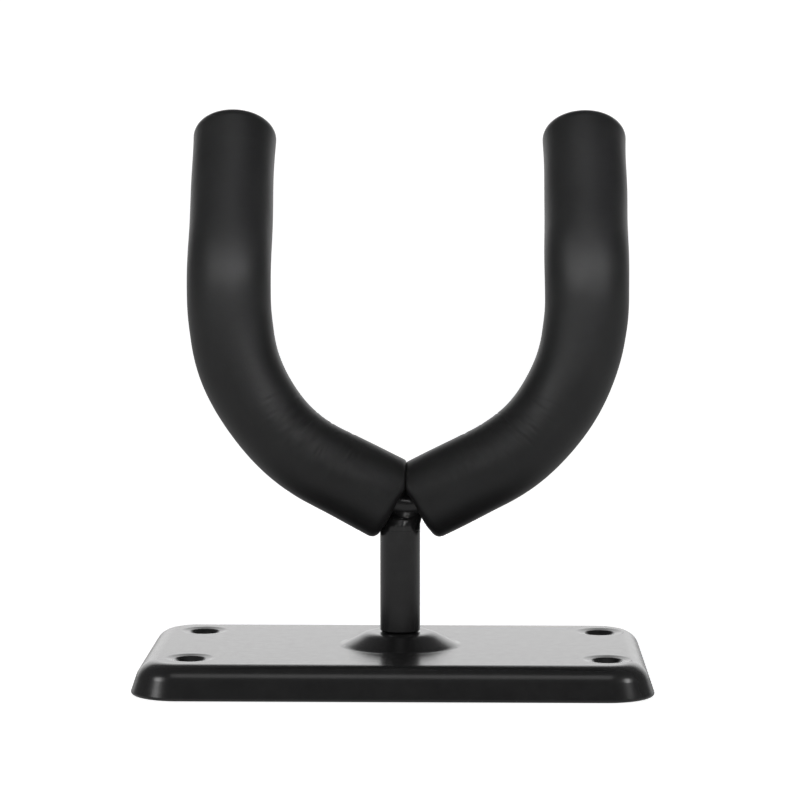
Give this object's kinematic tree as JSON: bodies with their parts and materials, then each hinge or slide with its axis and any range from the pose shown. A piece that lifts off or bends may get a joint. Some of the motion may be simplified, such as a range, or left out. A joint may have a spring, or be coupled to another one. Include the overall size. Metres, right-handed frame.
{
  "type": "wall guitar hanger",
  "caption": "Wall hanger for a guitar: a pressed steel wall plate with a short post and a swivelling padded yoke whose tips kick up to hold the headstock.",
  "frame": {"origin": "centre of the wall plate's back face; the post's axis is 1.1 mm to its +X side", "axes": "+Z away from the wall along the post, X along the plate's long side, +Y the way the arms' tips lean, which is up on a wall"},
  "size_m": [0.102, 0.0574, 0.114],
  "materials": {
    "powder_coat": "satin black powder coat on steel",
    "foam": "matte black closed-cell foam",
    "zinc": "bright zinc plate",
    "nylon": "natural nylon"
  },
  "bodies": {
    "plate": {"base_plate": "powder_coat", "friction_washer": "nylon"},
    "yoke": {"post": "powder_coat", "yoke_rod": "powder_coat", "yoke_weld": "powder_coat", "left_foam_sleeve": "foam", "right_foam_sleeve": "foam", "flat_washer": "zinc", "disc_spring": "zinc", "lock_nut": "zinc"}
  },
  "joints": [
    {"name": "yoke_swivel", "type": "hinge", "parent": "plate", "child": "yoke", "pos_m": [0.0011, 0, 0.00915], "axis": [0, 0, 1], "continuous": true}
  ]
}
